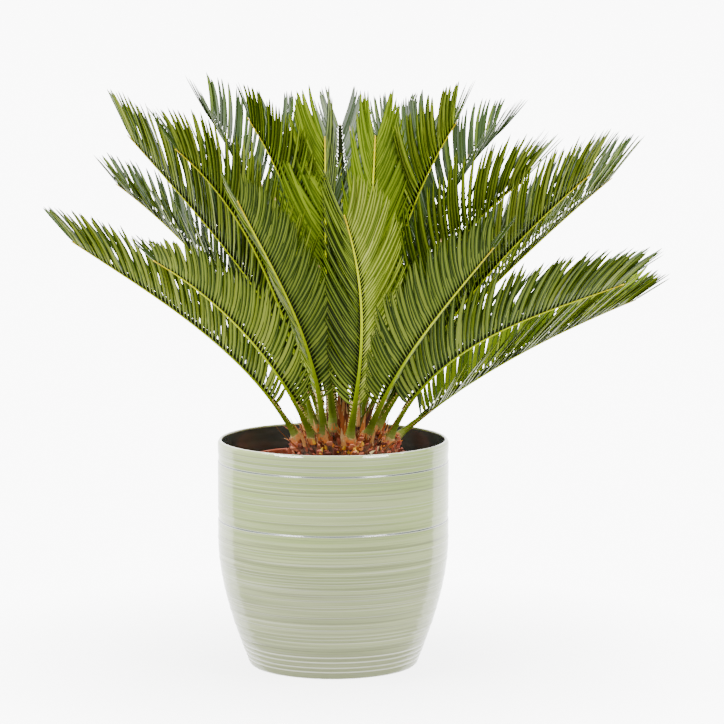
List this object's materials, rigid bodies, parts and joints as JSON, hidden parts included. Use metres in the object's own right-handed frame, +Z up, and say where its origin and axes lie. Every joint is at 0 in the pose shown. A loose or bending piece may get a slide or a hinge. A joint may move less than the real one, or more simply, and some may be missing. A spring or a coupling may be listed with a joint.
{
  "type": "potted sago palm",
  "caption": "Potted sago palm: stiff feathered fronds spread from a squat scaly trunk in a nursery pot inside a rounded glazed ceramic cover pot.",
  "frame": {"origin": "middle of the cover pot's flat underside, at the mount base", "axes": "+Z up along the pot's axis, -Y towards the front, +X to the right seen from the front"},
  "size_m": [0.6735, 0.5904, 0.6333],
  "materials": {
    "glaze": "gloss",
    "nursery_plastic": "satin",
    "potting_soil": "matte",
    "bark": "matte",
    "foliage": "satin"
  },
  "bodies": {
    "root": {"cover_pot": "glaze", "nursery_pot": "nursery_plastic", "soil": "potting_soil", "trunk": "bark", "frond_01": "foliage", "frond_02": "foliage", "frond_03": "foliage", "frond_04": "foliage", "frond_05": "foliage", "frond_06": "foliage", "frond_07": "foliage", "frond_08": "foliage", "frond_09": "foliage", "frond_10": "foliage", "frond_11": "foliage", "frond_12": "foliage", "frond_13": "foliage", "frond_14": "foliage", "frond_15": "foliage", "frond_16": "foliage", "frond_17": "foliage", "frond_18": "foliage", "frond_19": "foliage", "frond_20": "foliage", "frond_21": "foliage", "frond_22": "foliage", "frond_23": "foliage", "frond_24": "foliage", "frond_25": "foliage", "frond_26": "foliage", "frond_27": "foliage", "frond_28": "foliage"}
  },
  "joints": []
}
